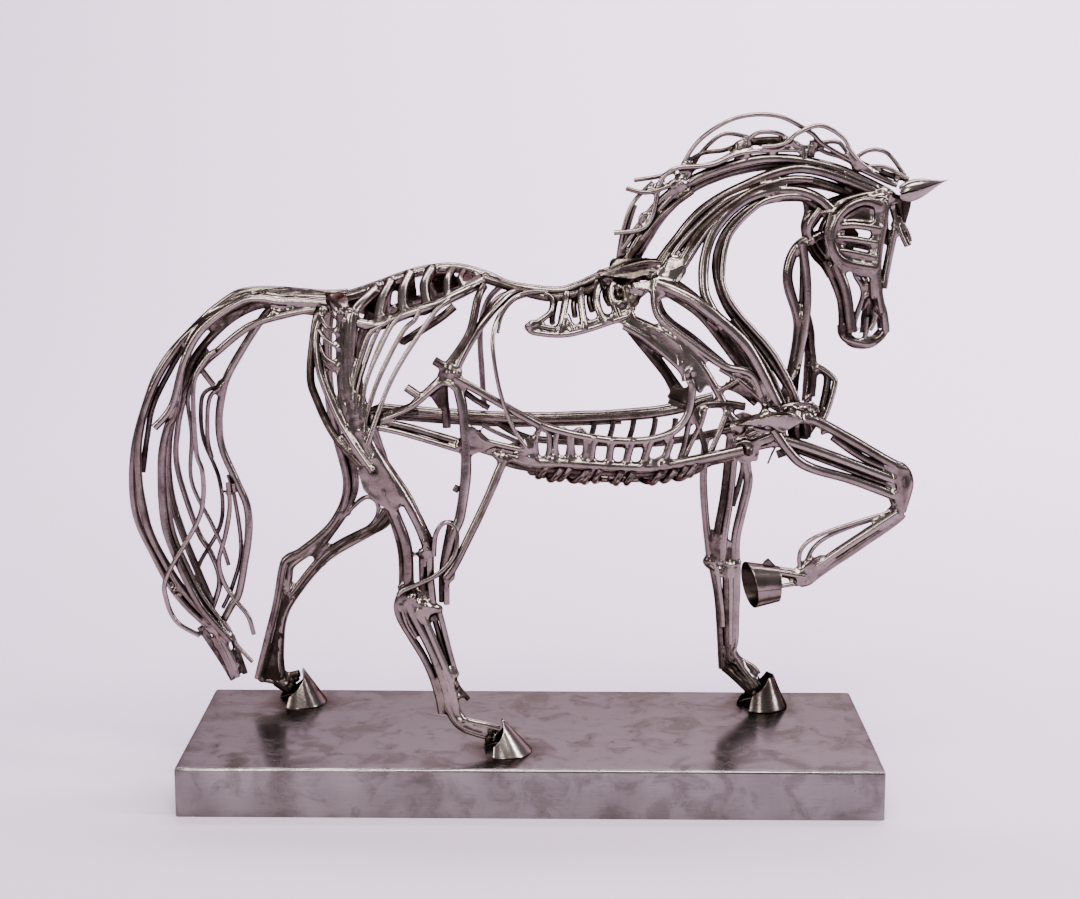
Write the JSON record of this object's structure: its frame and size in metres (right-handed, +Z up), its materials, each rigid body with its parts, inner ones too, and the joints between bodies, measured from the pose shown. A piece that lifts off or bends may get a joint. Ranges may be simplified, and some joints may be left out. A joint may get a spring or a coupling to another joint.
{
  "type": "scrap metal horse sculpture",
  "caption": "Tabletop sculpture of a horse with one foreleg raised, welded from bent steel rod with sheet-metal hooves and ears, on a rectangular sheet-steel plinth.",
  "frame": {"origin": "centre of the plinth's underside", "axes": "+X along the plinth towards the horse's head, +Y to the horse's far (left) side, +Z up"},
  "size_m": [0.5813, 0.18, 0.4883],
  "materials": {
    "rod_steel": "burnished mild steel rod with heat tint",
    "bright_steel": "polished steel",
    "dark_steel": "oxide-darkened mild steel",
    "sheet_steel": "ground and stained sheet steel"
  },
  "bodies": {
    "root": {"plinth": "sheet_steel", "hoof_near_hind": "bright_steel", "hoof_far_hind": "sheet_steel", "hoof_far_fore": "sheet_steel", "hoof_near_fore": "sheet_steel", "ear_near": "bright_steel", "ear_far": "dark_steel", "spine": "dark_steel", "thigh_plate_near": "rod_steel", "cannon_near_hind": "rod_steel", "leg_far_hind": "rod_steel", "foreleg_upper_near": "rod_steel", "foreleg_lower_near": "rod_steel", "foreleg_upper_far": "rod_steel", "foreleg_lower_far": "rod_steel", "haunch_near": "rod_steel", "haunch_far": "dark_steel", "rump_grille_near": "bright_steel", "rump_grille_far": "dark_steel", "flank_near": "rod_steel", "gaskin_rod_near": "rod_steel", "hock_wire_near": "bright_steel", "belly_ladder_near": "bright_steel", "belly_bar_far": "rod_steel", "keel": "dark_steel", "rib_near": "bright_steel", "rib_far": "dark_steel", "shoulder_near": "rod_steel", "shoulder_far": "dark_steel", "elbow_struts": "rod_steel", "withers_ladder": "bright_steel", "chest": "bright_steel", "face_near": "rod_steel", "face_far": "dark_steel", "poll": "rod_steel", "crest": "bright_steel", "neck_middle": "dark_steel", "neck_front": "bright_steel", "throat": "rod_steel", "chest_hook": "bright_steel", "tail_outer": "rod_steel", "tail_middle": "rod_steel", "tail_inner": "rod_steel", "tail_wire": "bright_steel", "thigh_rib_1": "bright_steel", "thigh_rib_2": "bright_steel", "thigh_rib_3": "bright_steel", "thigh_rib_4": "bright_steel", "mane_wire_1": "bright_steel", "mane_wire_2": "bright_steel", "mane_wire_3": "bright_steel", "mane_wire_4": "bright_steel", "mane_wire_5": "bright_steel", "forelock": "dark_steel"}
  },
  "joints": []
}
